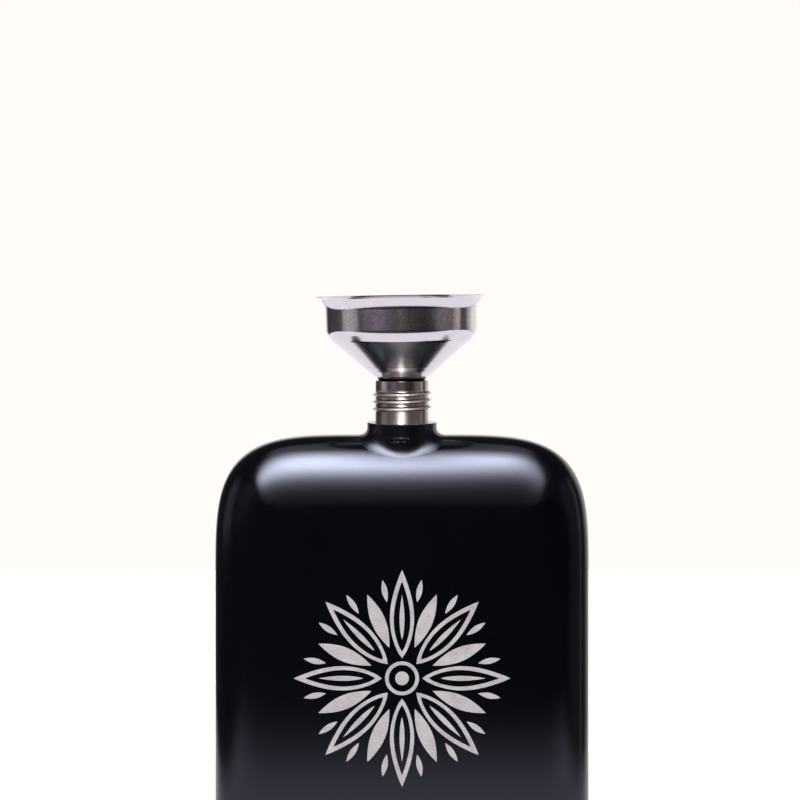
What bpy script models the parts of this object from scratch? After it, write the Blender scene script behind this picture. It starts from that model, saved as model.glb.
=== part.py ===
"""Hip flask of about 8 fl oz with its filling funnel standing in the open neck and its screw cap
set down beside it.

Frame: metres, +Z up, the front face looks along -Y. The origin is the middle of the foot, on the
resting plane. The flask is a sleeve with a drawn shoulder dome and a drawn base pan, a collar on the
shoulder, and a turned, threaded neck. The funnel is a spun bowl with a spout tube. The cap is a
pressed shell over a threaded liner with a sealing disc.
"""

import math

import bmesh
import bpy

MM = 0.001

# ---------------------------------------------------------------- driving sizes, in millimetres
WALL = 0.6                 # sheet thickness of the body
GAP = 0.3                  # joint gap between neighbouring solids

BODY_HALF_W = 47.5         # half width, seen from the front
BODY_HALF_T = 12.0         # half thickness, front to back
BODY_H = 119.0             # foot to the top of the shoulder
EDGE_SIDE = 15.0           # how far in from the side the front face turns flat
EDGE_TOP = 20.0            # and from the top
EDGE_N = 2.6               # superellipse exponent of the rounded edge, front to back
EDGE_EASE = 0.2            # share by which the rounding is tighter at the corner
SEAM_TOP = 79.0            # height of the weld between sleeve and dome
SEAM_BASE = 27.0           # height of the weld between sleeve and base pan

SHOULDER_A = 39.8          # shoulder corner, seen from the front: semi-axis across
SHOULDER_B = 38.4          # and down
SHOULDER_N = 4.05          # its superellipse exponent

BASE_A = 26.0              # base corner, seen from the front: semi-axis across
BASE_B = 24.0              # and up
BASE_N = 2.8
FOOT_HALF_T = 7.4          # half thickness of the foot
BASE_ROUND = 7.0           # height of the rounding from foot to front face
BASE_ROUND_N = 2.4
PAN_HEIGHTS = (0.0, 0.35, 1.2, 2.6, 4.6, BASE_ROUND, 10.5, 15.0, 19.5, BASE_B, SEAM_BASE - GAP / 2)
FOOT_RING = 1.7            # width of the outer ring of the foot
BEAD_DEPTH = 0.5           # stiffening groove pressed round the foot, inside that ring
BEAD_FLANK = 0.7           # width of each of its flanks
BEAD_FLOOR = 0.9           # and of its floor
BEAD_EDGE_SHARE = 0.6      # how much the side rounding shrinks per millimetre of inset

COLLAR_R = 8.87
COLLAR_TOP = 122.2
COLLAR_CUT_FROM = 108.0    # foot of the collar blank, inside the shoulder
COLLAR_CHAMFER = 0.15
HOLE_SPAN = (100.0, 130.0)  # bottom and top of the cutter for the dome's hole

NECK_R = 6.83
NECK_TOP = 132.8
NECK_FOOT = 114.4
NECK_CHAMFER = 0.25
BORE_R = 5.8
MOUTH_R = 6.25             # bore widened at the mouth by a chamfer
MOUTH_DEPTH = 0.6

THREAD_PITCH = 1.8
THREAD_START = 0.57        # phase of the crest, in turns
THREAD_HALF = 0.42         # half width of the ridge at its root, in pitches
THREAD_FADE = 0.35         # length of the run-out at either end, in pitches
THREAD_R = 7.58            # crest radius on the neck
THREAD_LOW = 124.6
THREAD_HIGH = 130.3

SHEET = 0.5                # funnel wall
RIM_R = 22.0
RIM_Z = 154.4
BOWL_R = 19.4
BOWL_Z = 149.0             # where the lip begins
LIP_FOOT_R = 19.55
LIP_MID_R = 19.85
LIP_HIGH_R = 20.35
CONE_TOP_R = 18.6
CONE_TOP_Z = 143.9
THROAT_R = 4.35
THROAT_Z = 131.65
THROAT_END = THROAT_Z - 2.0
THROAT_BORE_R = THROAT_R - 0.22

SPOUT_R = 3.8
SPOUT_WALL = 0.35
SPOUT_TOP = THROAT_Z - 0.4
SPOUT_TAPER_Z = THROAT_END - 0.3   # where the taper starts
SPOUT_END = 110.8
SPOUT_END_R = 3.65
SPOUT_END_WALL = 0.4

CAP_X, CAP_Y = 62.0, -28.0
CAP_R = 9.1
CAP_H = 14.0
CAP_SHEET = 0.4
CAP_ROUND = 1.3            # radius of the crown's edge

LINER_R = 8.4
LINER_LOW = 0.4
LINER_HIGH = 13.2
LINER_CHAMFER = 1.1
LINER_ROOT_R = 7.8
LINER_CREST_R = 7.15
LINER_THREAD_LOW = 2.0
LINER_THREAD_HIGH = 9.2
LINER_CEILING = 12.0       # underside of the liner's top plate

GASKET_R = 6.85
GASKET_LOW = 10.3
GASKET_T = 1.5
GASKET_CHAMFER = 0.2

# ---------------------------------------------------------------- mesh resolution
ROUND = 40                 # steps round the neck and the funnel bowl, and round the cap shell
ROUND_SMALL = 32           # round the spout, liner, gasket and dome hole
ROUND_COLLAR = 48
EDGE_STEPS = 6             # from the edge of the body to its flat face
SHOULDER_STEPS = 12        # in one shoulder corner
NECK_THREAD_STEPS = 20     # up the neck's thread
LINER_THREAD_STEPS = 16
CROWN_STEPS = 4            # in the outer rounding of the cap
LINING_STEPS = 3           # and in the inner one
SHARP_ANGLE = 0.6          # radians; steeper edges are shaded sharp


# ---------------------------------------------------------------- materials
def material(name, colour, roughness, metallic):
    made = bpy.data.materials.new(name)
    made.use_nodes = True
    shader = made.node_tree.nodes["Principled BSDF"]
    shader.inputs["Base Color"].default_value = (*colour, 1.0)
    shader.inputs["Roughness"].default_value = roughness
    shader.inputs["Metallic"].default_value = metallic
    made.diffuse_color = (*colour, 1.0)
    return made


def powder_coat(name):
    """Satin black."""
    return material(name, colour=(0.012, 0.012, 0.014), roughness=0.32, metallic=0.0)


def turned_steel(name):
    """Bare stainless."""
    return material(name, colour=(0.62, 0.60, 0.58), roughness=0.25, metallic=1.0)


def polished_steel(name):
    return material(name, colour=(0.72, 0.71, 0.71), roughness=0.12, metallic=1.0)


def black_plastic(name):
    """Moulded polypropylene."""
    return material(name, colour=(0.02, 0.02, 0.02), roughness=0.5, metallic=0.0)


def silicone(name):
    return material(name, colour=(0.75, 0.75, 0.73), roughness=0.55, metallic=0.0)


# ---------------------------------------------------------------- objects and modifiers
def object_from(name, bm, surface=None, parent=None):
    """A bmesh in millimetres becomes a named object in metres."""
    bmesh.ops.remove_doubles(bm, verts=bm.verts, dist=1e-4)
    bmesh.ops.recalc_face_normals(bm, faces=bm.faces)
    for vert in bm.verts:
        vert.co = vert.co * MM
    mesh = bpy.data.meshes.new(name)
    bm.to_mesh(mesh)
    bm.free()
    mesh.shade_smooth()
    mesh.set_sharp_from_angle(angle=SHARP_ANGLE)
    if surface is not None:
        mesh.materials.append(surface)
    made = bpy.data.objects.new(name, mesh)
    bpy.context.scene.collection.objects.link(made)
    made.parent = parent
    return made


def frame(name, parent=None, at=(0.0, 0.0, 0.0)):
    """An empty at a point in millimetres, to carry a group of pieces."""
    empty = bpy.data.objects.new(name, None)
    bpy.context.scene.collection.objects.link(empty)
    empty.parent = parent
    empty.location = [c * MM for c in at]
    return empty


def solidify(obj):
    """Thickens a body skin inward by the sheet thickness."""
    wall = obj.modifiers.new("wall", "SOLIDIFY")
    wall.thickness = WALL * MM
    wall.offset = -1.0
    wall.use_even_offset = True
    wall.use_rim = True


def cut(obj, cutter, name):
    boolean = obj.modifiers.new(name, "BOOLEAN")
    boolean.operation = "DIFFERENCE"
    boolean.solver = "EXACT"
    boolean.object = cutter
    cutter.hide_render = True
    cutter.display_type = "WIRE"


# ---------------------------------------------------------------- skins
def turned(profile, steps=ROUND):
    """Spins a closed profile of (radius, height) points about the Z axis."""
    bm = bmesh.new()
    ring = [bm.verts.new((r, 0.0, z)) for r, z in profile]
    edges = [bm.edges.new(pair) for pair in zip(ring, ring[1:] + ring[:1])]
    bmesh.ops.spin(bm, geom=ring + edges, cent=(0, 0, 0), axis=(0, 0, 1), angle=2 * math.pi,
                   steps=steps, use_merge=True, use_duplicate=False)
    return bm


def stacked(rings, cap_first=False, closed=False):
    """Joins rings of points, each with as many points as the next, into a skin."""
    bm = bmesh.new()
    rows = [[bm.verts.new(p) for p in ring] for ring in rings]
    pairs = list(zip(rows, rows[1:]))
    if closed:
        pairs.append((rows[-1], rows[0]))
    count = len(rows[0])
    for lower, upper in pairs:
        for i in range(count):
            j = (i + 1) % count
            bm.faces.new((lower[i], lower[j], upper[j], upper[i]))
    if cap_first:
        bm.faces.new(rows[0])
    return bm


def level_ring(radii, z):
    """A ring at one height, from its radii at even angles."""
    angles = [2 * math.pi * i / len(radii) for i in range(len(radii))]
    return [(r * math.cos(a), r * math.sin(a), z) for r, a in zip(radii, angles)]


def circles(profile, count):
    """One round ring for each (radius, height) point."""
    return [level_ring([r] * count, z) for r, z in profile]


def arc(cx, cz, radius, start, end, steps):
    """Points on a circle in the profile plane, angles in degrees."""
    angles = [math.radians(start + (end - start) * i / steps) for i in range(steps + 1)]
    return [(cx + radius * math.cos(a), cz + radius * math.sin(a)) for a in angles]


def superellipse_quarter(exponent, steps):
    """Points of a unit superellipse from (1, 0) to (0, 1), at even steps of direction."""
    points = []
    for i in range(steps + 1):
        direction = math.pi / 2 * (i / steps)
        t = math.atan(math.tan(direction) ** (exponent / 2))
        points.append((math.cos(t) ** (2 / exponent), math.sin(t) ** (2 / exponent)))
    return points


# ---------------------------------------------------------------- threads
def thread_height(angle, z, low, high):
    """0 at the root and 1 at the crest of a right-handed V thread that runs out at both ends."""
    phase = (z / THREAD_PITCH - angle / (2 * math.pi) - THREAD_START) % 1.0
    ridge = max(0.0, 1.0 - abs(phase - 0.5) / THREAD_HALF)
    fade = THREAD_FADE * THREAD_PITCH
    fade_in = min(1.0, max(0.0, (z - low) / fade))
    fade_out = min(1.0, max(0.0, (high - z) / fade))
    return ridge * min(fade_in, fade_out)


def thread_rings(root, crest, low, high, steps, count, shift=0.0):
    """Rings from low to high. A shift lowers the crests by that much and the lower run-out too,
    so with a shift longer than the run-out the thread starts at full height."""
    rings = []
    for k in range(steps + 1):
        z = low + (high - low) * k / steps
        heights = [thread_height(2 * math.pi * i / count, z + shift, low, high + shift)
                   for i in range(count)]
        rings.append(level_ring([root + (crest - root) * h for h in heights], z))
    return rings


# ---------------------------------------------------------------- the body's outer form
def shoulder_outline(grow, bottom):
    """The outline over the top, seen from the front, from the left seam to the right seam, as pairs
    of points: one on the edge of the body (y = 0) and one where the front face turns flat. The
    second lies square in from the first, so the rounding keeps its section round the corner, where
    it is a little tighter."""
    centre_x = BODY_HALF_W - SHOULDER_A
    centre_z = BODY_H - SHOULDER_B
    right = [((BODY_HALF_W + grow, bottom), (BODY_HALF_W - EDGE_SIDE, bottom))]
    for c, s in superellipse_quarter(SHOULDER_N, SHOULDER_STEPS):
        out_x = c ** (SHOULDER_N - 1) / SHOULDER_A
        out_z = s ** (SHOULDER_N - 1) / SHOULDER_B
        length = math.hypot(out_x, out_z)
        out_x, out_z = out_x / length, out_z / length
        ease = 1.0 - EDGE_EASE * (2 * out_x * out_z) ** 2
        edge = (centre_x + (SHOULDER_A + grow) * c, centre_z + (SHOULDER_B + grow) * s)
        face = (centre_x + SHOULDER_A * c - EDGE_SIDE * ease * out_x,
                centre_z + SHOULDER_B * s - EDGE_TOP * ease * out_z)
        right.append((edge, face))
    left = [((-edge[0], edge[1]), (-face[0], face[1])) for edge, face in right]
    return left + right[::-1]


def shoulder_skin(bottom, grow=0.0):
    """The dome's outer skin, open at the bottom."""
    bm = bmesh.new()
    half_t = BODY_HALF_T + grow
    quarter = superellipse_quarter(EDGE_N, EDGE_STEPS)
    front_to_back = [(c, -s) for c, s in quarter[::-1]] + quarter[1:]
    rows = []
    for (edge_x, edge_z), (face_x, face_z) in shoulder_outline(grow, bottom):
        rows.append([bm.verts.new((face_x + (edge_x - face_x) * c, half_t * s,
                                   face_z + (edge_z - face_z) * c)) for c, s in front_to_back])
    for a, b in zip(rows, rows[1:]):
        for i in range(len(a) - 1):
            bm.faces.new((a[i], a[i + 1], b[i + 1], b[i]))
    # flat front and back
    bm.faces.new([row[0] for row in rows])
    bm.faces.new([row[-1] for row in rows])
    return bm


def section(half_w, half_t, edge, z):
    """One closed horizontal section: flat front and back, rounded sides."""
    quarter = [(half_w - edge + edge * c, half_t * s)
               for c, s in superellipse_quarter(EDGE_N, EDGE_STEPS)]
    points = list(quarter)
    points += [(-x, y) for x, y in quarter[::-1]]
    points += [(-x, -y) for x, y in quarter[1:]]
    points += [(x, -y) for x, y in quarter[:0:-1]]
    return [(x, y, z) for x, y in points]


def rounding(z, height, exponent):
    """Share, 0 to 1, by which a rounding of this height has opened out at z."""
    left_over = (height - min(z, height)) / height
    return (1 - left_over ** exponent) ** (1 / exponent)


def base_sizes(z):
    """Half width, half thickness and side rounding of the base pan at a height."""
    half_w = BODY_HALF_W - BASE_A + BASE_A * rounding(z, BASE_B, BASE_N)
    lift = rounding(z, BASE_ROUND, BASE_ROUND_N)
    half_t = FOOT_HALF_T + (BODY_HALF_T - FOOT_HALF_T) * lift
    return half_w, half_t, EDGE_SIDE * (half_t / BODY_HALF_T)


# ---------------------------------------------------------------- flask
def body_sleeve(flask):
    """One constant section between the two welds."""
    rings = [section(BODY_HALF_W, BODY_HALF_T, EDGE_SIDE, z)
             for z in (SEAM_BASE + GAP / 2, SEAM_TOP - GAP / 2)]
    solidify(object_from("body_sleeve", stacked(rings), powder_coat("sleeve_coat"), flask))


def shoulder_dome(flask):
    """The dome, with a hole for the neck."""
    dome = object_from("shoulder_dome", shoulder_skin(SEAM_TOP + GAP / 2),
                       powder_coat("dome_coat"), flask)
    solidify(dome)
    low, high = HOLE_SPAN
    radius = NECK_R + GAP
    hole = object_from("dome_hole_cutter", turned(
        [(0.0, low), (radius, low), (radius, high), (0.0, high)], ROUND_SMALL))
    hole.rotation_euler.z = math.pi / ROUND_SMALL    # its corners then miss the dome's middle line
    cut(dome, hole, "neck hole")


def base_pan(flask):
    """Rounded corners and a flat foot with a stiffening groove pressed round it."""
    half_w, half_t, edge = base_sizes(0.0)
    outer = FOOT_RING
    floor_outer = outer + BEAD_FLANK
    floor_inner = floor_outer + BEAD_FLOOR
    inner = floor_inner + BEAD_FLANK
    groove = ((inner, 0.0), (floor_inner, BEAD_DEPTH), (floor_outer, BEAD_DEPTH), (outer, 0.0))
    rings = [section(half_w - inset, half_t - inset, edge - inset * BEAD_EDGE_SHARE, up)
             for inset, up in groove]
    rings += [section(*base_sizes(z), z) for z in PAN_HEIGHTS]
    solidify(object_from("base_pan", stacked(rings, cap_first=True), powder_coat("pan_coat"), flask))


def neck_collar(flask):
    """A ring whose underside is cut to the shoulder."""
    bore = NECK_R + GAP
    collar = object_from("neck_collar", turned([
        (bore, COLLAR_CUT_FROM), (COLLAR_R, COLLAR_CUT_FROM),
        (COLLAR_R, COLLAR_TOP - COLLAR_CHAMFER), (COLLAR_R - COLLAR_CHAMFER, COLLAR_TOP),
        (bore, COLLAR_TOP)], ROUND_COLLAR), powder_coat("collar_coat"), flask)
    collar.rotation_euler.z = math.pi / ROUND_COLLAR    # half a step, off the saddle's middle line
    skin = shoulder_skin(SEAM_TOP, grow=GAP)
    bmesh.ops.holes_fill(skin, edges=[e for e in skin.edges if e.is_boundary], sides=0)
    cut(collar, object_from("saddle_cutter", skin), "saddle")


def threaded_neck(flask):
    """A turned tube with an outside thread."""
    rings = circles([(MOUTH_R, NECK_TOP), (BORE_R, NECK_TOP - MOUTH_DEPTH), (BORE_R, NECK_FOOT),
                     (NECK_R, NECK_FOOT), (NECK_R, COLLAR_TOP)], ROUND)
    rings += thread_rings(NECK_R, THREAD_R, THREAD_LOW, THREAD_HIGH, NECK_THREAD_STEPS, ROUND)
    rings += circles([(NECK_R, NECK_TOP - NECK_CHAMFER), (NECK_R - NECK_CHAMFER, NECK_TOP)], ROUND)
    object_from("threaded_neck", stacked(rings, closed=True), turned_steel("neck_steel"), flask)


# ---------------------------------------------------------------- funnel
def from_neck_top(profile):
    """Heights above the foot become heights in the funnel's frame."""
    return [(r, z - NECK_TOP) for r, z in profile]


def funnel_bowl(funnel):
    """Flared lip, straight wall, cone and a short throat."""
    outside = [
        (RIM_R, RIM_Z), (21.1, RIM_Z - 0.45), (LIP_HIGH_R, RIM_Z - 1.15),
        (LIP_MID_R, RIM_Z - 2.2), (LIP_FOOT_R, RIM_Z - 3.8),
        (BOWL_R, BOWL_Z), (BOWL_R - 0.15, 145.9),
        (CONE_TOP_R + 0.45, 144.7), (CONE_TOP_R, CONE_TOP_Z),
        (THROAT_R, THROAT_Z), (THROAT_R, THROAT_END)]
    inside = [
        (THROAT_BORE_R, THROAT_END), (THROAT_BORE_R, THROAT_Z + 0.1),
        (CONE_TOP_R - 0.35, CONE_TOP_Z + 0.35),
        (BOWL_R - 0.15 - SHEET, 146.1), (BOWL_R - SHEET, BOWL_Z),
        (LIP_FOOT_R - SHEET, RIM_Z - 3.7), (LIP_MID_R - SHEET, RIM_Z - 2.0),
        (LIP_HIGH_R - SHEET * 0.8, RIM_Z - 0.9), (21.0, RIM_Z - 0.1), (RIM_R - 0.2, RIM_Z + 0.2)]
    object_from("funnel_bowl", turned(from_neck_top(outside + inside)),
                polished_steel("bowl_steel"), funnel)


def funnel_spout(funnel):
    """A tube fixed in the throat, tapering below it."""
    profile = [
        (SPOUT_R - SPOUT_WALL, SPOUT_TOP), (SPOUT_R, SPOUT_TOP), (SPOUT_R, THROAT_END),
        (SPOUT_R, SPOUT_TAPER_Z), (SPOUT_END_R, SPOUT_END),
        (SPOUT_END_R - SPOUT_END_WALL, SPOUT_END)]
    object_from("funnel_spout", turned(from_neck_top(profile), ROUND_SMALL),
                polished_steel("spout_steel"), funnel)


# ---------------------------------------------------------------- cap
def cap_shell(cap):
    """A pressed shell with a rounded crown."""
    centre = (CAP_R - CAP_ROUND, CAP_H - CAP_ROUND)
    crown = arc(*centre, CAP_ROUND, 0, 90, CROWN_STEPS)
    lining = arc(*centre, CAP_ROUND - CAP_SHEET, 90, 0, LINING_STEPS)
    profile = [(CAP_R, 0.0), *crown, (0.0, CAP_H),
               (0.0, CAP_H - CAP_SHEET), *lining, (CAP_R - CAP_SHEET, 0.0)]
    object_from("cap_shell", turned(profile), powder_coat("cap_coat"), cap)


def cap_liner(cap):
    """A moulded cup with an inside thread. Its rings run from the middle of the top, down the
    outside and up the inside; the end rings have no radius and are welded to a point."""
    recess = GASKET_R + GAP
    rings = circles([(0.0, LINER_HIGH), (LINER_R - LINER_CHAMFER, LINER_HIGH),
                     (LINER_R, LINER_HIGH - LINER_CHAMFER), (LINER_R, LINER_LOW),
                     (LINER_ROOT_R, LINER_LOW)], ROUND_SMALL)
    rings += thread_rings(LINER_ROOT_R, LINER_CREST_R, LINER_THREAD_LOW, LINER_THREAD_HIGH,
                          LINER_THREAD_STEPS, ROUND_SMALL, shift=THREAD_PITCH / 2)
    rings += circles([(recess, GASKET_LOW - GAP), (recess, LINER_CEILING), (0.0, LINER_CEILING)],
                     ROUND_SMALL)
    object_from("cap_liner", stacked(rings), black_plastic("liner_plastic"), cap)


def cap_gasket(cap):
    """The sealing disc."""
    top = GASKET_LOW + GASKET_T
    face_r = GASKET_R - GASKET_CHAMFER
    profile = [(0.0, GASKET_LOW), (face_r, GASKET_LOW), (GASKET_R, GASKET_LOW + GASKET_CHAMFER),
               (GASKET_R, top - GASKET_CHAMFER), (face_r, top), (0.0, top)]
    object_from("cap_gasket", turned(profile, ROUND_SMALL), silicone("gasket_silicone"), cap)


# ---------------------------------------------------------------- build
def build():
    for old in list(bpy.data.objects):
        bpy.data.objects.remove(old, do_unlink=True)

    flask = frame("flask_frame")
    funnel = frame("funnel_frame", flask, at=(0.0, 0.0, NECK_TOP))
    cap = frame("cap_frame", flask, at=(CAP_X, CAP_Y, 0.0))

    for piece in (body_sleeve, shoulder_dome, base_pan, neck_collar, threaded_neck):
        piece(flask)
    for piece in (funnel_bowl, funnel_spout):
        piece(funnel)
    for piece in (cap_shell, cap_liner, cap_gasket):
        piece(cap)


build()
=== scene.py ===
"""Looks of the hip flask: fine meshes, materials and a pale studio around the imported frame."""

import math

import bmesh
import bpy
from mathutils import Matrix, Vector, noise
from mathutils.bvhtree import BVHTree


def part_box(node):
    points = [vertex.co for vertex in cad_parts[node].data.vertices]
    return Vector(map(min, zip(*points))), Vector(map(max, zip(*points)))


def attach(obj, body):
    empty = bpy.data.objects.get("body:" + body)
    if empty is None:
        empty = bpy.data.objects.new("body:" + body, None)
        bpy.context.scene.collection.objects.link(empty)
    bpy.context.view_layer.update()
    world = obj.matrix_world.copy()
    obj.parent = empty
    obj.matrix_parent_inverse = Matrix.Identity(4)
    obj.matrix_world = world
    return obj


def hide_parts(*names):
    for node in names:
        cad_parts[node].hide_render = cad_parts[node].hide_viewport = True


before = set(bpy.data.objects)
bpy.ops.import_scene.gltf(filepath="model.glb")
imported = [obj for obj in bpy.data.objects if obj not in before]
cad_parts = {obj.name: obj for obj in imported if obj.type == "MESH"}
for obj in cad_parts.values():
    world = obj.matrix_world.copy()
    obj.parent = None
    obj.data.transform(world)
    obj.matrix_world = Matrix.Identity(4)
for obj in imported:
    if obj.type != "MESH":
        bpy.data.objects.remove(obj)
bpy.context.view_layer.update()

MM = 0.001


def box_mm(node):
    lo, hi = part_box(node)
    return [c / MM for c in lo], [c / MM for c in hi]


# ---------------------------------------------------------------- sizes, in millimetres, read from the frame
sleeve_lo, sleeve_hi = box_mm("body_sleeve")
dome_lo, dome_hi = box_mm("shoulder_dome")
pan_lo, pan_hi = box_mm("base_pan")
collar_lo, collar_hi = box_mm("neck_collar")
neck_lo, neck_hi = box_mm("threaded_neck")
bowl_lo, bowl_hi = box_mm("funnel_bowl")
spout_lo, spout_hi = box_mm("funnel_spout")
cap_lo, cap_hi = box_mm("cap_shell")
liner_lo, liner_hi = box_mm("cap_liner")
gasket_lo, gasket_hi = box_mm("cap_gasket")

HALF_W = sleeve_hi[0]
HALF_T = sleeve_hi[1]
TOP = dome_hi[2]
SEAM_TOP = (sleeve_hi[2] + dome_lo[2]) / 2
SEAM_BASE = (sleeve_lo[2] + pan_hi[2]) / 2
LEDGE = collar_hi[2]
NECK_TOP = neck_hi[2]
CAP_X = (cap_lo[0] + cap_hi[0]) / 2
CAP_Y = (cap_lo[1] + cap_hi[1]) / 2
CAP_R = (cap_hi[0] - cap_lo[0]) / 2
CAP_H = cap_hi[2]

# form of the body; these are the frame's own proportions
WALL = 0.6
SHOULDER_A, SHOULDER_B, SHOULDER_N = 39.8, 38.4, 4.05
EDGE_SIDE, EDGE_TOP, EDGE_N = 15.0, 20.0, 2.6
EDGE_EASE = 0.2
BASE_A, BASE_B, BASE_N = 26.0, 24.0, 2.8
FOOT_HALF_T, BASE_ROUND, BASE_ROUND_N = 7.4, 7.0, 2.4
COLLAR_R = 8.87
NECK_R = 6.83
BORE_R, MOUTH_R, MOUTH_DEPTH = 5.8, 6.25, 0.6
THREAD_R, PITCH = 7.58, 1.8


# ---------------------------------------------------------------- mesh helpers
def power_cos(t, n):
    return max(0.0, math.cos(t)) ** (2.0 / n)


def power_sin(t, n):
    return max(0.0, math.sin(t)) ** (2.0 / n)


def turn_angles(n, steps):
    found = []
    for i in range(steps + 1):
        phi = math.pi / 2 * i / steps
        found.append(0.0 if i == 0 else math.pi / 2 if i == steps else math.atan(math.tan(phi) ** (n / 2.0)))
    return found


def smoothstep(a, b, x):
    if a == b:
        return 1.0 if x >= b else 0.0
    t = min(1.0, max(0.0, (x - a) / (b - a)))
    return t * t * (3 - 2 * t)


def piece(name, bm, material, body, nodes=(), sharp=35.0, at=(0.0, 0.0, 0.0), merge=1e-4):
    """A bmesh in millimetres becomes a smooth piece in metres that rides on a body."""
    if merge:
        bmesh.ops.remove_doubles(bm, verts=bm.verts, dist=merge)
    bmesh.ops.recalc_face_normals(bm, faces=bm.faces)
    for v in bm.verts:
        v.co = v.co * MM
    mesh = bpy.data.meshes.new(name)
    bm.to_mesh(mesh)
    bm.free()
    made = bpy.data.objects.new(name, mesh)
    bpy.context.scene.collection.objects.link(made)
    made.location = [c * MM for c in at]
    mesh.materials.append(material)
    mesh.shade_smooth()
    mesh.set_sharp_from_angle(angle=math.radians(sharp))
    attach(made, body)
    if nodes:
        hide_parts(*nodes)
    return made


def bake_modifiers(obj, sharp=35.0):
    """Applies what is on the object, so that the mesh itself is the shape."""
    graph = bpy.context.evaluated_depsgraph_get()
    mesh = bpy.data.meshes.new_from_object(obj.evaluated_get(graph))
    obj.modifiers.clear()
    obj.data = mesh
    mesh.shade_smooth()
    mesh.set_sharp_from_angle(angle=math.radians(sharp))


def thicken(obj, thickness):
    made = obj.modifiers.new("wall", "SOLIDIFY")
    made.thickness = thickness * MM
    made.offset = -1.0
    made.use_even_offset = True
    made.use_rim = True


def lathe(profile, steps=192):
    """Closed profile of (radius, height) points, turned about Z. Writes a UV with u round and v along the profile."""
    bm = bmesh.new()
    count = len(profile)
    rows = []
    for r, z in profile:
        rows.append([bm.verts.new((r * math.cos(2 * math.pi * i / steps), r * math.sin(2 * math.pi * i / steps), z))
                     for i in range(steps)] if r > 1e-6 else [bm.verts.new((0, 0, z))])
    uv = bm.loops.layers.uv.new("around")
    run = [0.0]
    for (r0, z0), (r1, z1) in zip(profile, profile[1:] + profile[:1]):
        run.append(run[-1] + math.hypot(r1 - r0, z1 - z0))
    for k in range(count):
        a, b = rows[k], rows[(k + 1) % count]
        if len(a) == 1 and len(b) == 1:
            continue
        for i in range(steps):
            j = (i + 1) % steps
            ring = [(a[i % len(a)], i, k), (a[j % len(a)], i + 1, k), (b[j % len(b)], i + 1, k + 1), (b[i % len(b)], i, k + 1)]
            kept = []
            for item in ring:
                if not kept or all(item[0] is not other[0] for other in kept):
                    kept.append(item)
            if len(kept) < 3:
                continue
            face = bm.faces.new([v for v, _, _ in kept])
            for loop, (_, u, w) in zip(face.loops, kept):
                loop[uv].uv = (u / steps, run[w] * 0.02)
    return bm


def arc(cx, cz, radius, start, end, steps):
    return [(cx + radius * math.cos(math.radians(start + (end - start) * i / steps)),
             cz + radius * math.sin(math.radians(start + (end - start) * i / steps))) for i in range(steps + 1)]


def fillet(points, radii, steps=6):
    """Rounds the corners of an open run of (radius, height) points; radii holds one value per point."""
    out = []
    for k, (p, rad) in enumerate(zip(points, radii)):
        if k in (0, len(points) - 1) or rad <= 0:
            out.append(p)
            continue
        p, a, b = Vector(p), Vector(points[k - 1]), Vector(points[k + 1])
        u, w = (a - p).normalized(), (b - p).normalized()
        half = u.angle(w) / 2
        reach = min(rad / math.tan(half), 0.49 * (a - p).length, 0.49 * (b - p).length)
        r = reach * math.tan(half)
        centre = p + (u + w).normalized() * (r / math.sin(half))
        s, e = p + u * reach, p + w * reach
        a0 = math.atan2(*(s - centre).yx)
        a1 = math.atan2(*(e - centre).yx)
        turn = (a1 - a0 + math.pi) % (2 * math.pi) - math.pi
        for i in range(steps + 1):
            t = a0 + turn * i / steps
            out.append((centre.x + r * math.cos(t), centre.y + r * math.sin(t)))
    return out


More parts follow.
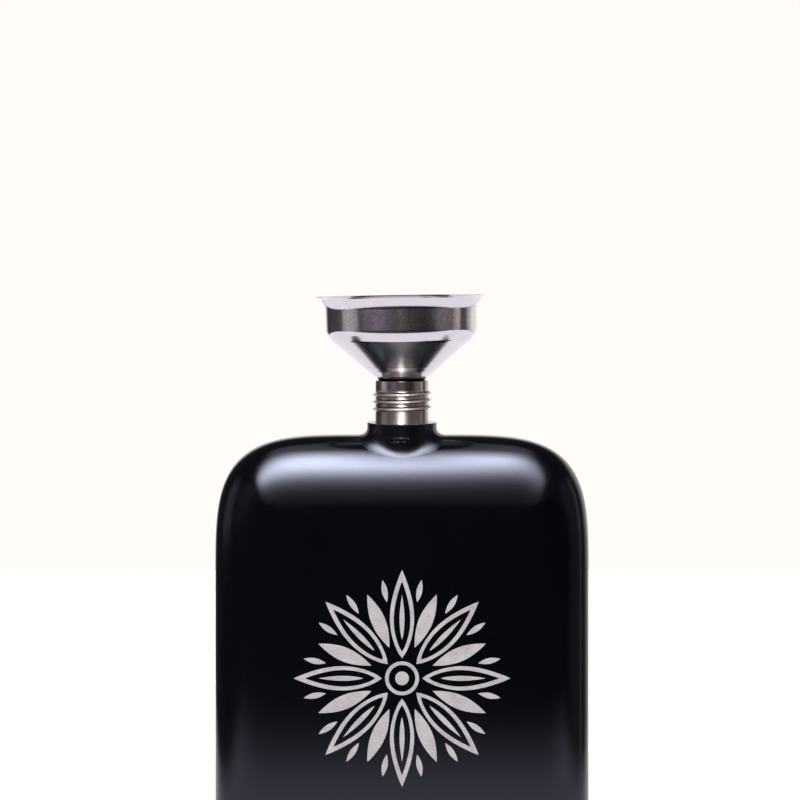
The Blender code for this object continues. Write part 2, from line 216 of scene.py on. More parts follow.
# ---------------------------------------------------------------- node helpers
class Nodes:
    """Short-hand for building a material's node tree."""

    def __init__(self, name):
        self.material = bpy.data.materials.new(name)
        self.material.use_nodes = True
        self.tree = self.material.node_tree
        self.shader = self.tree.nodes["Principled BSDF"]
        self.out = self.tree.nodes["Material Output"]

    def add(self, kind, **settings):
        node = self.tree.nodes.new(kind)
        for key, value in settings.items():
            setattr(node, key, value)
        return node

    def link(self, a, b):
        self.tree.links.new(a, b)

    def put(self, socket, value):
        if hasattr(value, "is_linked") or hasattr(value, "links"):
            self.link(value, socket)
        else:
            socket.default_value = value

    def math(self, operation, a, b=None, c=None, clamp=False):
        node = self.add("ShaderNodeMath", operation=operation, use_clamp=clamp)
        for socket, value in zip(node.inputs, (a, b, c)):
            if value is not None:
                self.put(socket, value)
        return node.outputs[0]

    def step(self, value, low, high, to_low=0.0, to_high=1.0):
        node = self.add("ShaderNodeMapRange", interpolation_type="SMOOTHSTEP")
        self.put(node.inputs["Value"], value)
        for key, v in (("From Min", low), ("From Max", high), ("To Min", to_low), ("To Max", to_high)):
            self.put(node.inputs[key], v)
        return node.outputs["Result"]

    def mix(self, fac, a, b):
        node = self.add("ShaderNodeMix", data_type="RGBA")
        self.put(node.inputs["Factor"], fac)
        self.put(node.inputs[6], a)
        self.put(node.inputs[7], b)
        return node.outputs[2]

    def noise(self, vector, scale, detail=2.0, rough=0.5, dims="3D", w=None):
        node = self.add("ShaderNodeTexNoise", noise_dimensions=dims)
        if vector is not None and dims != "1D":
            self.link(vector, node.inputs["Vector"])
        if w is not None:
            self.put(node.inputs["W"], w)
        node.inputs["Scale"].default_value = scale
        node.inputs["Detail"].default_value = detail
        node.inputs["Roughness"].default_value = rough
        return node.outputs["Fac"]

    def bump(self, height, strength, distance, normal=None):
        node = self.add("ShaderNodeBump")
        node.inputs["Strength"].default_value = strength
        node.inputs["Distance"].default_value = distance
        self.link(height, node.inputs["Height"])
        if normal is not None:
            self.link(normal, node.inputs["Normal"])
        return node.outputs["Normal"]

    def place(self):
        """Object coordinates, with x, y, z and the radius from the Z axis, in metres."""
        co = self.add("ShaderNodeTexCoord").outputs["Object"]
        split = self.add("ShaderNodeSeparateXYZ")
        self.link(co, split.inputs[0])
        x, y, z = split.outputs
        r = self.math("SQRT", self.math("ADD", self.math("MULTIPLY", x, x), self.math("MULTIPLY", y, y)))
        return co, x, y, z, r

    def set(self, **values):
        for key, value in values.items():
            self.put(self.shader.inputs[key.replace("_", " ")], value)


# ---------------------------------------------------------------- materials
COAT_ROUGH = 0.13


def coat_material(name, bare_edge=None, more=0.0):
    """Satin black powder coat: near-black, with a fine grain and slight variations in gloss. bare_edge is a height
    in metres above which the coat is ground away to steel, with a chipped border."""
    n = Nodes(name)
    co, x, y, z, r = n.place()
    grain = n.noise(co, 2600.0, 3.0, 0.55)
    wave = n.noise(co, 420.0, 2.0, 0.5)
    cloud = n.noise(co, 55.0, 3.0, 0.6)
    rough = n.step(cloud, 0.3, 0.7, COAT_ROUGH + more - 0.012, COAT_ROUGH + more + 0.012)
    base = n.mix(n.step(grain, 0.35, 0.75), (0.0002, 0.0002, 0.0004, 1), (0.0004, 0.0003, 0.0006, 1))
    height = n.math("ADD", grain, n.math("MULTIPLY", wave, 0.7))
    normal = n.bump(height, 0.5, 0.000014)
    metallic = 0.0
    if bare_edge is not None:
        ragged = n.noise(co, 1300.0, 3.0, 0.6)
        spots = n.noise(co, 800.0, 2.0, 0.5)
        line = n.math("ADD", z, n.math("MULTIPLY", n.math("SUBTRACT", ragged, 0.53), 0.00060))
        bare = n.math("MAXIMUM", n.step(line, bare_edge - 0.00002, bare_edge + 0.00002),
                      n.step(z, LEDGE * MM - 0.00003, LEDGE * MM - 0.00001))
        near = n.step(z, bare_edge - 0.0009, bare_edge - 0.0001)
        chips = n.math("MULTIPLY", n.step(spots, 0.72, 0.74), near)
        bare = n.math("MAXIMUM", bare, chips)
        base = n.mix(bare, base, (0.60, 0.585, 0.56, 1))
        metallic = bare
        rough = n.math("ADD", n.math("MULTIPLY", rough, n.math("SUBTRACT", 1.0, bare)), n.math("MULTIPLY", bare, 0.22))
    n.set(Base_Color=base, Roughness=rough, Metallic=metallic, Normal=normal, IOR=1.5, Specular_Tint=(0.80, 0.86, 1.08, 1))
    return n.material


def steel_material(name, colour, rough, line_scale, line_depth, anisotropy=0.6, patches=0.04, warm=None, painted_shade_below=None,
                   rough_below=None, rougher=0.10, coarser=5.0, mottle=0.0, smooth_past=None, mottle_span=None):
    """Bare stainless with fine lines round the Z axis, left by turning or spinning. warm is a second tint that comes
    through in patches. grimy is a height in metres under which the steel is painted nearly black, as painted shade, and
    rough_below a height under which it is rougher and the tool marks are coarser, except past the radius smooth_past.
    With smooth_past given, the thread's crests are painted lighter, as a painted highlight, the flanks by the root are
    painted darker and the mouth and bore are painted dark, both as painted shade. mottle is how much handling has
    marked it, within the heights mottle_span: fine grain, streaks up and down, and a few specks."""
    n = Nodes(name)
    co, x, y, z, r = n.place()
    profile = n.math("ADD", z, n.math("MULTIPLY", r, 0.71))
    lines = n.noise(None, line_scale, 6.0, 0.65, dims="1D", w=profile)
    coarse = n.noise(None, line_scale * 0.13, 2.0, 0.5, dims="1D", w=profile)
    cloud = n.noise(co, 210.0, 4.0, 0.62)
    broad = n.noise(co, 95.0, 2.0, 0.5)
    specks = n.noise(co, 1900.0, 2.0, 0.5)
    roughness = n.math("ADD", n.math("ADD", rough, n.math("MULTIPLY", n.math("SUBTRACT", cloud, 0.5), patches * 2)),
                       n.math("MULTIPLY", n.math("SUBTRACT", lines, 0.5), patches))
    base = n.mix(n.step(lines, 0.30, 0.62), (*[c * 0.86 for c in colour], 1), (*colour, 1))
    if warm:
        base = n.mix(n.step(cloud, 0.42, 0.62, 0.0, 0.8), base, (*warm, 1))
    base = n.mix(n.step(specks, 0.70, 0.74, 0.0, 0.4), base, (*[c * 0.5 for c in colour], 1))
    height = n.math("ADD", lines, n.math("MULTIPLY", coarse, 1.4))
    if rough_below is not None:
        coarse_here = n.step(z, rough_below - 0.0003, rough_below + 0.0003, 1.0, 0.0)
        if smooth_past is not None:
            coarse_here = n.math("MULTIPLY", coarse_here, n.step(r, smooth_past, smooth_past + 0.0001, 1.0, 0.0))
            anisotropy = n.math("ADD", anisotropy, n.math("MULTIPLY", coarse_here, 0.92 - anisotropy))
        height = n.math("MULTIPLY", height, n.math("ADD", 1.0, n.math("MULTIPLY", coarse_here, coarser - 1.0)))
        roughness = n.math("ADD", roughness, n.math("MULTIPLY", coarse_here, rougher))
        if smooth_past is not None:
            # painted highlight: the thread's crests are painted lighter, and rougher, to stand in for the bright lines
            # along them
            painted_crest_light = n.step(r, smooth_past + 0.00030, smooth_past + 0.00048)
            roughness = n.math("ADD", roughness, n.math("MULTIPLY", painted_crest_light, 0.30))
            base = n.mix(painted_crest_light, base, (0.95, 0.90, 0.88, 1))
            # painted shade: the flanks next to the thread's root are painted darker
            painted_flank_shade = n.math("MULTIPLY", n.step(r, smooth_past, smooth_past + 0.0001),
                            n.step(r, smooth_past + 0.0002, smooth_past + 0.00036, 1.0, 0.0))
            base = n.mix(n.math("MULTIPLY", painted_flank_shade, 0.75), base, (0.30, 0.25, 0.23, 1))
            # the mouth and the bore are painted dark, as painted shade inside the neck, and made rougher
            inside = n.step(r, smooth_past - 0.0005, smooth_past - 0.0003, 1.0, 0.0)
            base = n.mix(inside, base, (0.13, 0.115, 0.11, 1))
            roughness = n.math("ADD", roughness, n.math("MULTIPLY", inside, 0.28))
    if mottle:
        grain = n.noise(co, 1500.0, 3.0, 0.65)
        low = n.add("ShaderNodeVectorMath", operation="MULTIPLY")
        n.link(co, low.inputs[0])
        low.inputs[1].default_value = (1.0, 1.0, 0.12)
        streak = n.noise(low.outputs[0], 700.0, 2.0, 0.5)
        tone = n.math("ADD", n.step(grain, 0.32, 0.68, 1.0 - mottle, 1.0 + mottle * 0.6),
                      n.math("MULTIPLY", n.math("SUBTRACT", streak, 0.5), mottle * 1.6))
        dots = n.step(n.noise(co, 900.0, 1.0, 0.5), 0.74, 0.77, 0.0, mottle * 1.5)
        tone = n.math("ADD", tone, dots)
        if mottle_span:
            here = n.math("MULTIPLY", n.step(z, mottle_span[0] - 0.0004, mottle_span[0]),
                          n.step(z, mottle_span[1], mottle_span[1] + 0.0004, 1.0, 0.0))
            tone = n.math("ADD", 1.0, n.math("MULTIPLY", n.math("SUBTRACT", tone, 1.0), here))
        tinted = n.add("ShaderNodeVectorMath", operation="SCALE")
        n.link(base, tinted.inputs[0])
        n.link(tone, tinted.inputs["Scale"])
        base = tinted.outputs[0]
    # painted shade: under this height the steel is painted nearly black
    if painted_shade_below is not None:
        base = n.mix(n.step(z, painted_shade_below - 0.00008, painted_shade_below + 0.00008), (0.03, 0.026, 0.026, 1), base)
    normal = n.bump(height, 0.5, line_depth)
    normal = n.bump(n.math("ADD", broad, n.math("MULTIPLY", cloud, 0.35)), 0.5, 0.00003, normal)
    tangent = n.add("ShaderNodeTangent", direction_type="RADIAL", axis="Z")
    n.set(Base_Color=base, Metallic=1.0, Roughness=roughness, Anisotropic=anisotropy, Anisotropic_Rotation=0.25, Normal=normal)
    n.link(tangent.outputs[0], n.shader.inputs["Tangent"])
    return n.material


def engraved_material():
    """Steel laid bare by a laser: pale, matt, with the fine parallel passes of the beam."""
    n = Nodes("laser_engraving")
    co, x, y, z, r = n.place()
    passes = n.noise(None, 9000.0, 1.0, 0.5, dims="1D", w=n.math("ADD", z, n.math("MULTIPLY", x, 0.18)))
    cloud = n.noise(co, 260.0, 3.0, 0.6)
    fine = n.noise(co, 3800.0, 2.0, 0.6)
    tone = n.math("ADD", n.math("MULTIPLY", passes, 0.5), n.math("ADD", n.math("MULTIPLY", cloud, 0.25), n.math("MULTIPLY", fine, 0.25)))
    base = n.mix(n.step(tone, 0.38, 0.62), (0.090, 0.081, 0.083, 1), (0.175, 0.157, 0.161, 1))
    n.set(Base_Color=base, Metallic=0.0, Roughness=0.6, Specular_IOR_Level=0.25, Normal=n.bump(tone, 0.4, 0.00002))
    return n.material


def plastic_material():
    n = Nodes("moulded_liner")
    co, x, y, z, r = n.place()
    fine = n.noise(co, 1800.0, 3.0, 0.6)
    base = n.mix(fine, (0.014, 0.014, 0.015, 1), (0.024, 0.024, 0.025, 1))
    n.set(Base_Color=base, Roughness=n.step(fine, 0.3, 0.7, 0.42, 0.55), Normal=n.bump(fine, 0.3, 0.00002))
    return n.material


def silicone_material():
    n = Nodes("silicone_disc")
    co, x, y, z, r = n.place()
    fine = n.noise(co, 900.0, 3.0, 0.6)
    base = n.mix(fine, (0.70, 0.70, 0.67, 1), (0.80, 0.80, 0.78, 1))
    n.set(Base_Color=base, Roughness=n.step(fine, 0.3, 0.7, 0.5, 0.62), Normal=n.bump(fine, 0.25, 0.00002))
    n.shader.inputs["Subsurface Weight"].default_value = 0.25
    n.shader.inputs["Subsurface Radius"].default_value = (0.0012, 0.0012, 0.0011)
    return n.material


coat = coat_material("powder_coat")
collar_coat = coat_material("powder_coat_collar", bare_edge=(LEDGE - 0.02) * MM, more=0.12)
# the neck's crests carry a painted highlight, and its flanks, mouth and bore painted shade
neck_steel = steel_material("turned_steel", (0.62, 0.555, 0.525), 0.15, 9000.0, 0.0000022, anisotropy=0.35,
                            warm=(0.60, 0.50, 0.47), rough_below=0.1304, rougher=0.20, coarser=2.5, mottle=0.14,
                            smooth_past=(NECK_R + 0.03) * MM)
# painted shade: the funnel's throat, under the cone's lower edge, is painted nearly black where it stands in the neck's
# mouth
bowl_steel = steel_material("spun_steel", (0.71, 0.69, 0.745), 0.11, 5200.0, 0.0000015, anisotropy=0.45, patches=0.025,
                            warm=(0.74, 0.68, 0.70), painted_shade_below=(NECK_TOP + 0.58) * MM, rough_below=0.1428, rougher=0.06,
                            coarser=2.0, mottle=0.20, mottle_span=(0.1459, 0.1513))
spout_steel = steel_material("drawn_steel", (0.68, 0.66, 0.70), 0.17, 5200.0, 0.0000015, anisotropy=0.3, patches=0.03,
                             warm=(0.70, 0.65, 0.67))
engraved = engraved_material()
plastic = plastic_material()
silicone = silicone_material()


# ---------------------------------------------------------------- the body
def shoulder_pairs(steps):
    """Pairs of points, over the top from left to right: on the edge of the body, and where the face turns flat. The
    second lies square in from the first, so the rounding keeps its section round the corner."""
    cx, cz = HALF_W - SHOULDER_A, TOP - SHOULDER_B
    right = [((HALF_W, SEAM_TOP), (HALF_W - EDGE_SIDE, SEAM_TOP))]
    for t in turn_angles(SHOULDER_N, steps):
        c, s = power_cos(t, SHOULDER_N), power_sin(t, SHOULDER_N)
        out_x, out_z = c ** (SHOULDER_N - 1) / SHOULDER_A, s ** (SHOULDER_N - 1) / SHOULDER_B
        length = math.hypot(out_x, out_z)
        out_x, out_z = out_x / length, out_z / length
        ease = 1.0 - EDGE_EASE * (2 * out_x * out_z) ** 2
        right.append(((cx + SHOULDER_A * c, cz + SHOULDER_B * s),
                      (cx + SHOULDER_A * c - EDGE_SIDE * ease * out_x, cz + SHOULDER_B * s - EDGE_TOP * ease * out_z)))
    left = [((-e[0], e[1]), (-f[0], f[1])) for e, f in right]
    middle = [((x, TOP), (x, TOP - EDGE_TOP)) for x in [-cx + 2 * cx * i / 10 for i in range(1, 10)]]
    return left + middle + right[::-1]


def dome_skin(steps_u=80, steps_v=36):
    bm = bmesh.new()
    angles = turn_angles(EDGE_N, steps_v)
    rows = []
    for edge, face in shoulder_pairs(steps_u):
        row = []
        for side in (-1, 1):
            for t in (angles[::-1] if side < 0 else angles[1:]):
                c, s = power_cos(t, EDGE_N), power_sin(t, EDGE_N)
                row.append(bm.verts.new((face[0] + (edge[0] - face[0]) * c, side * HALF_T * s,
                                         face[1] + (edge[1] - face[1]) * c)))
        rows.append(row)
    for a, b in zip(rows, rows[1:]):
        for i in range(len(a) - 1):
            corners = (a[i], a[i + 1], b[i + 1], b[i])
            places = []
            for v in corners:
                if all((v.co - p).length > 1e-4 for p in places):
                    places.append(v.co)
            if len(places) > 2:
                bm.faces.new(corners)
    for side in (0, -1):
        bm.faces.new([row[side] for row in rows])
    bmesh.ops.remove_doubles(bm, verts=bm.verts, dist=1e-4)
    bmesh.ops.recalc_face_normals(bm, faces=bm.faces)
    return bm


skin = dome_skin()
dome_tree = BVHTree.FromBMesh(skin)


def shoulder_height(x, y):
    hit = dome_tree.ray_cast(Vector((x, y, 200.0)), Vector((0, 0, -1)))
    return hit[0].z


dome = piece("shoulder_dome_coated", skin, coat, "flask", ["shoulder_dome"], merge=0)
thicken(dome, WALL)
bore_bm = lathe([(0.0, 100.0), (NECK_R + 0.06, 100.0), (NECK_R + 0.06, 130.0), (0.0, 130.0)], 96)
bmesh.ops.recalc_face_normals(bore_bm, faces=bore_bm.faces)
for v in bore_bm.verts:
    v.co = v.co * MM
bore_mesh = bpy.data.meshes.new("bore_tool")
bore_bm.to_mesh(bore_mesh)
bore_bm.free()
bore = bpy.data.objects.new("bore_tool", bore_mesh)
bpy.context.scene.collection.objects.link(bore)
bore.rotation_euler.z = math.pi / 96
cutting = dome.modifiers.new("neck_hole", "BOOLEAN")
cutting.operation, cutting.solver, cutting.object = "DIFFERENCE", "EXACT", bore
bake_modifiers(dome)
bpy.data.objects.remove(bore, do_unlink=True)


def section(half_w, half_t, edge, z, n=EDGE_N, steps=36, lead=0.8):
    """One closed horizontal section. Extra points just inside the flat keep its shading flat."""
    quarter = [(half_w - edge + edge * power_cos(t, n), half_t * power_sin(t, n)) for t in turn_angles(n, steps)]
    quarter.append((half_w - edge - lead, half_t))
    points = list(quarter)
    points += [(-x, y) for x, y in quarter[::-1]]
    points += [(-x, -y) for x, y in quarter[1:]]
    points += [(x, -y) for x, y in quarter[::-1][:-1]]
    return [(x, y, z) for x, y in points]


def stacked(rings, cap_first=False):
    bm = bmesh.new()
    rows = [[bm.verts.new(p) for p in ring] for ring in rings]
    count = len(rows[0])
    for a, b in zip(rows, rows[1:]):
        for i in range(count):
            j = (i + 1) % count
            bm.faces.new((a[i], a[j], b[j], b[i]))
    if cap_first:
        bm.faces.new(rows[0])
    return bm


sleeve = piece("body_sleeve_coated", stacked([section(HALF_W, HALF_T, EDGE_SIDE, SEAM_BASE + (SEAM_TOP - SEAM_BASE) * k / 8)
                                              for k in range(9)]), coat, "flask", ["body_sleeve"])
thicken(sleeve, WALL)
bake_modifiers(sleeve)


def pan_section(z):
    up = min(z, BASE_B)
    half_w = HALF_W - BASE_A + BASE_A * (1 - ((BASE_B - up) / BASE_B) ** BASE_N) ** (1 / BASE_N)
    up = min(z, BASE_ROUND)
    half_t = FOOT_HALF_T + (HALF_T - FOOT_HALF_T) * (1 - ((BASE_ROUND - up) / BASE_ROUND) ** BASE_ROUND_N) ** (1 / BASE_ROUND_N)
    return half_w, half_t, EDGE_SIDE * half_t / HALF_T


rings = []
w0, t0, e0 = pan_section(0.0)
groove = [(6.0, 0.0)]
for k in range(13):
    across = 1.7 + 2.3 * (1 - k / 12)
    groove.append((across, 0.5 * math.sin(math.pi * (across - 1.7) / 2.3) ** 1.3 if 0 < k < 12 else 0.0))
groove += [(0.9, 0.0), (0.3, 0.0)]
for inset, up in groove:
    rings.append(section(w0 - inset, t0 - inset, e0 - inset * 0.6, up, lead=0.4))
for k in range(61):
    z = BASE_B * (k / 60) ** 2.3
    rings.append(section(*pan_section(z), z))
rings.append(section(HALF_W, HALF_T, EDGE_SIDE, SEAM_BASE))
pan = piece("base_pan_coated", stacked(rings, cap_first=True), coat, "flask", ["base_pan"])
thicken(pan, WALL)
bake_modifiers(pan)


# ---------------------------------------------------------------- the collar, faired into the shoulder
def collar_mesh(steps=240, wall_rows=96, fillet_rows=24):
    """The collar with its fillet down to the shoulder, which is widest diagonally and narrowest at the sides."""
    bm = bmesh.new()
    columns = []
    angles = [2 * math.pi * i / steps for i in range(steps)]

    def over(a, r):
        return shoulder_height(r * math.cos(a), r * math.sin(a))

    def evened(values, span=7):
        """A running mean round the circle, since the shoulder under the collar is made of facets."""
        return [sum(values[(i + k) % steps] for k in range(-span, span + 1)) / (2 * span + 1) for i in range(steps)]

    def beads(ca, sa, z):
        """Two low welding beads under the coat, across the front."""
        made = 0.0
        for level, tall in ((TOP - 0.45, 0.15), (TOP - 1.35, 0.12)):
            wander = 0.10 * noise.noise(Vector((ca * 4.0, sa * 4.0, level)))
            rough = 0.65 + 0.9 * noise.noise(Vector((ca * 22.0, sa * 22.0, level * 3.0 + z * 1.5)))
            made += tall * rough * math.exp(-((z - level - wander) / 0.32) ** 2)
        return made

    betas = evened([math.atan((over(a, COLLAR_R) - over(a, COLLAR_R + 0.4)) / 0.4) for a in angles])
    radii = []
    for a in angles:
        turned = math.degrees(math.acos(min(1.0, abs(math.sin(a)))))
        hump = math.exp(-((turned - 46.0) / 20.0) ** 2)
        radii.append(1.9 + (1.8 + 1.2 * hump if turned < 46.0 else 3.0 * hump))
    reaches = [radius * math.tan((math.pi / 2 - beta) / 2) for radius, beta in zip(radii, betas)]
    outs = [COLLAR_R + max(0.12, reach * math.cos(beta)) for reach, beta in zip(reaches, betas)]
    tails = evened([(over(a, r + 0.3) - over(a, r - 0.1)) / 0.4 for a, r in zip(angles, outs)])
    for i in range(steps):
        a = angles[i]
        ca, sa = math.cos(a), math.sin(a)
        front = max(0.0, -sa) ** 6
        beta, reach, r_out, tail = betas[i], reaches[i], outs[i], tails[i]
        end = over(a, r_out)
        knee = end - tail * (r_out - COLLAR_R)
        top = min(knee + max(0.15, reach), LEDGE - 0.6)
        weight = math.cos((math.pi / 2 - beta) / 2)
        column = [(NECK_R + 0.02, LEDGE - 0.12), (NECK_R + 0.02, LEDGE - 0.02), (NECK_R + 0.06, LEDGE)]
        column += [(NECK_R + 0.5, LEDGE), (COLLAR_R - 0.5, LEDGE)]
        column += arc(COLLAR_R - 0.16, LEDGE - 0.16, 0.16, 90, 0, 5)
        for k in range(1, wall_rows + 1):
            z = LEDGE - 0.16 + (top - LEDGE + 0.16) * k / wall_rows
            fade = smoothstep(LEDGE - 0.5, LEDGE - 1.2, z)
            column.append((COLLAR_R + front * beads(ca, sa, z) * fade, z))
        for k in range(1, fillet_rows + 1):
            t = k / fillet_rows
            w0, w1, w2 = (1 - t) ** 2, 2 * t * (1 - t) * weight, t * t
            r = (w0 * COLLAR_R + w1 * COLLAR_R + w2 * r_out) / (w0 + w1 + w2)
            z = (w0 * top + w1 * knee + w2 * end) / (w0 + w1 + w2)
            column.append((r + front * beads(ca, sa, z) * (1 - t), z))
        column.append((r_out + 0.05, end + tail * 0.05 - 0.05))
        under = min(over(a, r_out) - 0.5, over(a, NECK_R + 0.1) - 0.5)
        column.append((r_out - 0.05, under))
        column.append((NECK_R + 0.02, under))
        columns.append([bm.verts.new((r * ca, r * sa, z)) for r, z in column])
    uv = bm.loops.layers.uv.new("around")
    count = len(columns[0])
    for i in range(steps):
        a, b = columns[i], columns[(i + 1) % steps]
        for k in range(count):
            m = (k + 1) % count
            face = bm.faces.new((a[k], a[m], b[m], b[k]))
            for loop, u, w in zip(face.loops, (i, i, i + 1, i + 1), (k, k + 1, k + 1, k)):
                loop[uv].uv = (u / steps, w / count)
    return bm


piece("neck_collar_coated", collar_mesh(), collar_coat, "flask", ["neck_collar"], sharp=40)


# ---------------------------------------------------------------- threads
def thread_profile(f):
    """A V ridge with a narrow, slightly rounded crest and a flat root, over one pitch; its lower flank is steeper."""
    d = abs(f - 0.5) / (0.30 if f < 0.5 else 0.38)
    if d > 1.0:
        return 0.0
    t = 1.0 - d
    crest = 0.90
    return t if t < crest else crest + (1 - crest) * math.sin((t - crest) / (1 - crest) * math.pi / 2) * 0.6


def threaded_tube(radius, ridge, z_start, first_angle, turns, before, after, around=180, rows=36, lead_in=0.16,
                  uneven=0.0):
    """Columns of a cylinder with one helical ridge. Rows inside the thread follow the helix, so that its crest stays
    crisp, and the plain rows over its end are pressed together under the first height of after. before and after are
    runs of (radius, height) below and above. Returns a bmesh open at both ends."""
    bm = bmesh.new()
    uv = bm.loops.layers.uv.new("around")
    total = int(math.ceil(turns))
    plain = z_start + PITCH * (turns + 0.45) + 2 * uneven
    highest = z_start + PITCH * (total + 0.5) + 2 * uneven
    press = min(1.0, (after[0][1] - 0.03 - plain) / (highest - plain))
    strip = {}
    for i in range(around):
        a = first_angle + 2 * math.pi * i / around
        for j in range(total * rows + 1):
            turn = j / rows - 0.5 + i / around          # turns of the crest passing through this row's pitch
            f = (j % rows) / rows
            crest_turn = math.floor(j / rows) + i / around
            amp = smoothstep(0.0, lead_in, crest_turn) * smoothstep(turns, turns - lead_in * 1.6, crest_turn)
            r = radius + ridge * thread_profile(f) * amp
            z = z_start + PITCH * (j / rows - 0.5 + i / around) + uneven * (1.0 - math.cos(a))
            z = min(z, plain) + max(0.0, z - plain) * press
            strip[i, j] = bm.verts.new((r * math.cos(a), r * math.sin(a), z))
    last = total * rows

    def quad(corners):
        face = bm.faces.new(corners)
        for loop in face.loops:
            co = loop.vert.co
            loop[uv].uv = (math.atan2(co.y, co.x) / (2 * math.pi), co.z * 0.02)

    for i in range(around - 1):
        for j in range(last):
            quad((strip[i, j], strip[i + 1, j], strip[i + 1, j + 1], strip[i, j + 1]))
    for j in range(last - rows):
        quad((strip[around - 1, j], strip[0, j + rows], strip[0, j + rows + 1], strip[around - 1, j + 1]))

    def ring(r, z):
        return [bm.verts.new((r * math.cos(first_angle + 2 * math.pi * i / around),
                              r * math.sin(first_angle + 2 * math.pi * i / around), z)) for i in range(around)]

    low = [ring(r, z) for r, z in before]
    high = [ring(r, z) for r, z in after]
    for run in (low, high):
        for a, b in zip(run, run[1:]):
            for i in range(around):
                j = (i + 1) % around
                quad((a[i], a[j], b[j], b[i]))
    foot, head = low[-1], high[0]
    for i in range(around - 1):
        quad((foot[i], foot[i + 1], strip[i + 1, 0], strip[i, 0]))
        quad((strip[i, last], strip[i + 1, last], head[i + 1], head[i]))
    quad([foot[around - 1], foot[0]] + [strip[0, j] for j in range(rows + 1)] + [strip[around - 1, 0]])
    quad([strip[around - 1, last - rows]] + [strip[around - 1, j] for j in range(last - rows + 1, last + 1)]
         + [head[around - 1], head[0], strip[0, last]])
    return bm, low[0], high[-1], quad


def neck_mesh():
    first = math.radians(130.0)
    # crest heights at the front are 125.7, 127.5 and 129.3 mm; the crest starts on the back left
    z_first = 125.68 - PITCH * (270.0 - 130.0) / 360.0
    before = [(NECK_R, neck_lo[2]), (NECK_R, LEDGE + 0.02), (NECK_R, z_first - 0.56 * PITCH)]
    after = [(NECK_R, NECK_TOP - 0.32), (NECK_R, NECK_TOP - 0.15)] + arc(NECK_R - 0.03, NECK_TOP - 0.03, 0.03, 0, 90, 3)
    after += [(MOUTH_R + 0.05, NECK_TOP), (MOUTH_R, NECK_TOP - 0.05), (BORE_R, NECK_TOP - MOUTH_DEPTH),
              (BORE_R, neck_lo[2])]
    bm, foot, mouth, quad = threaded_tube(NECK_R, THREAD_R - NECK_R, z_first, first, 3.05, before, after, uneven=0.15)
    count = len(foot)
    for i in range(count):
        j = (i + 1) % count
        quad((mouth[i], mouth[j], foot[j], foot[i]))
    return bm


piece("threaded_neck_steel", neck_mesh(), neck_steel, "flask", ["threaded_neck"], sharp=38)


# ---------------------------------------------------------------- the engraved rosette on the front
def rosette_mesh(centre_z=59.7, proud=0.03, sunk=0.01):
    """Outlined long petals, solid short ones between them, a beaded outer row and a ringed centre."""
    bm = bmesh.new()

    def put(points, y):
        return [bm.verts.new((x, y, centre_z + z)) for x, z in points]

    def plate(outline):
        front, back = put(outline, -HALF_T - proud), put(outline, -HALF_T + sunk)
        bm.faces.new(front)
        bm.faces.new(back[::-1])
        for i in range(len(front)):
            j = (i + 1) % len(front)
            bm.faces.new((front[i], back[i], back[j], front[j]))

    def band(outer_line, inner_line):
        fo, bo = put(outer_line, -HALF_T - proud), put(outer_line, -HALF_T + sunk)
        fi, bi = put(inner_line, -HALF_T - proud), put(inner_line, -HALF_T + sunk)
        for i in range(len(fo)):
            j = (i + 1) % len(fo)
            bm.faces.new((fo[i], fo[j], fi[j], fi[i]))
            bm.faces.new((bo[j], bo[i], bi[i], bi[j]))
            bm.faces.new((fo[i], bo[i], bo[j], fo[j]))
            bm.faces.new((fi[j], bi[j], bi[i], fi[i]))

    def petal(angle, r0, r1, half, belly=0.5, steps=20):
        left, right = [], []
        for k in range(steps + 1):
            t = k / steps
            w = half * math.sin(math.pi * t ** (math.log(0.5) / math.log(belly))) ** 0.9 if 0 < k < steps else 0.0
            r = r0 + (r1 - r0) * t
            left.append((r, w))
            if 0 < k < steps:
                right.append((r, -w))
        ca, sa = math.cos(angle), math.sin(angle)
        return [(r * ca - w * sa, r * sa + w * ca) for r, w in left + right[::-1]]

    def circle(radius, steps=72):
        return [(radius * math.cos(2 * math.pi * k / steps), radius * math.sin(2 * math.pi * k / steps)) for k in range(steps)]

    for k in range(8):
        a = math.pi / 2 + k * math.pi / 4
        band(petal(a, 5.0, 26.8, 3.0, 0.45), petal(a, 6.6, 24.0, 2.05, 0.45))
        plate(petal(a, 9.6, 20.6, 0.62, 0.45))
        plate(petal(a + math.pi / 8, 8.2, 22.4, 1.75, 0.5))
    for k in range(16):
        plate(petal(math.pi / 2 + (k + 0.5) * math.pi / 8, 19.2, 24.8, 0.72, 0.5, 12))
    band(circle(4.2), circle(3.3))
    plate(circle(1.7))
    return bm


piece("engraved_rosette", rosette_mesh(), engraved, "flask", (), sharp=30, merge=0)


